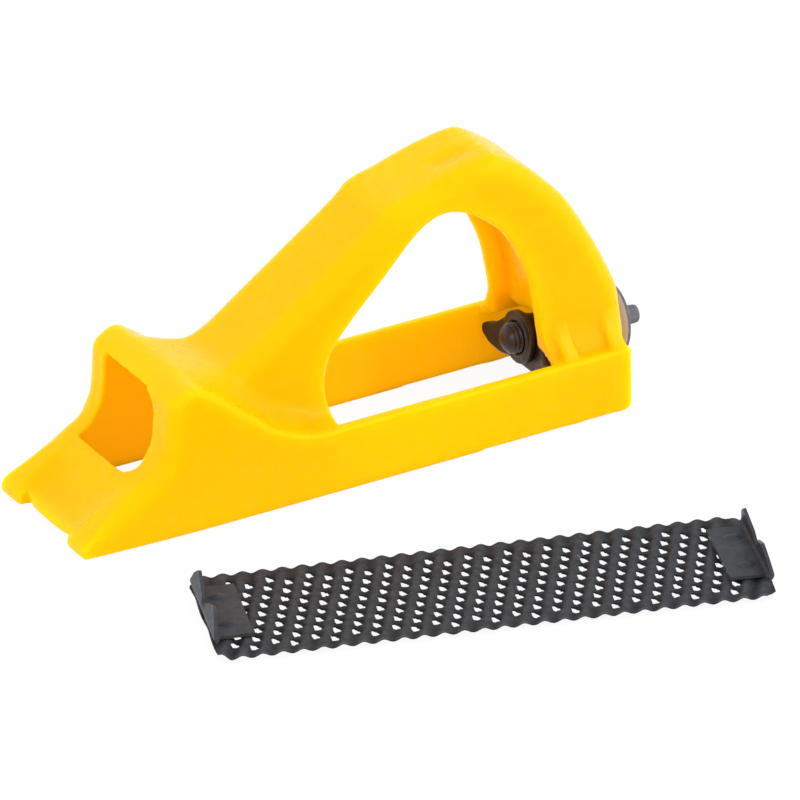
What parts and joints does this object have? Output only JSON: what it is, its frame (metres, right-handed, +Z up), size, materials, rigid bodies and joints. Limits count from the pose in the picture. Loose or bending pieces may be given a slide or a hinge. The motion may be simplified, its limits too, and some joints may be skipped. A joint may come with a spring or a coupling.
{
  "type": "rasp plane",
  "caption": "Moulded rasp plane with a closed grip and a thumb-screw blade tensioner, with its perforated, corrugated rasp blade lying flat beside it.",
  "frame": {"origin": "on the surface that everything stands on, under the middle of the bounding box of the plane and its blade", "axes": "+X from the toe to the heel of the plane, +Y to the plane's left side, away from the blade, +Z up"},
  "size_m": [0.1806, 0.1556, 0.0786],
  "materials": {
    "yellow_plastic": "glossy moulded ABS",
    "dark_casting": "dark lacquered casting",
    "dark_steel": "blackened, slightly glossy",
    "cast_grey": "rough as cast",
    "black_sheet": "blackened steel sheet",
    "black_clip": "blackened pressed steel, semi-gloss"
  },
  "bodies": {
    "plane_body": {"body_shell": "yellow_plastic"},
    "tensioner": {"tensioner_bar": "dark_casting", "flange_nut": "dark_steel"},
    "thumb_screw": {"threaded_stud": "dark_steel", "thumb_knob": "cast_grey"},
    "rasp_blade": {"blade_sheet": "black_sheet", "front_clip": "black_clip", "rear_clip": "black_clip", "front_clip_rivet_right": "black_clip", "front_clip_rivet_left": "black_clip", "rear_clip_rivet_right": "black_clip", "rear_clip_rivet_left": "black_clip"}
  },
  "joints": [
    {"name": "knob_turn", "type": "hinge", "parent": "plane_body", "child": "thumb_screw", "pos_m": [0.05279, 0.05483, 0.0174], "axis": [-0.9972, 0, 0.075], "range_deg": [-1080, 720]},
    {"name": "bar_slide", "type": "slide", "parent": "plane_body", "child": "tensioner", "axis": [0.9972, 0, -0.075], "range_m": [-0.00376, 0.00251]},
    {"name": "blade_lift", "type": "slide", "parent": "plane_body", "child": "rasp_blade", "axis": [0, 0, 1], "range_m": [0, 0.05]}
  ],
  "couplings": [
    {"joint": "bar_slide", "follows": "knob_turn", "m_per_rad": 0.00019894}
  ]
}
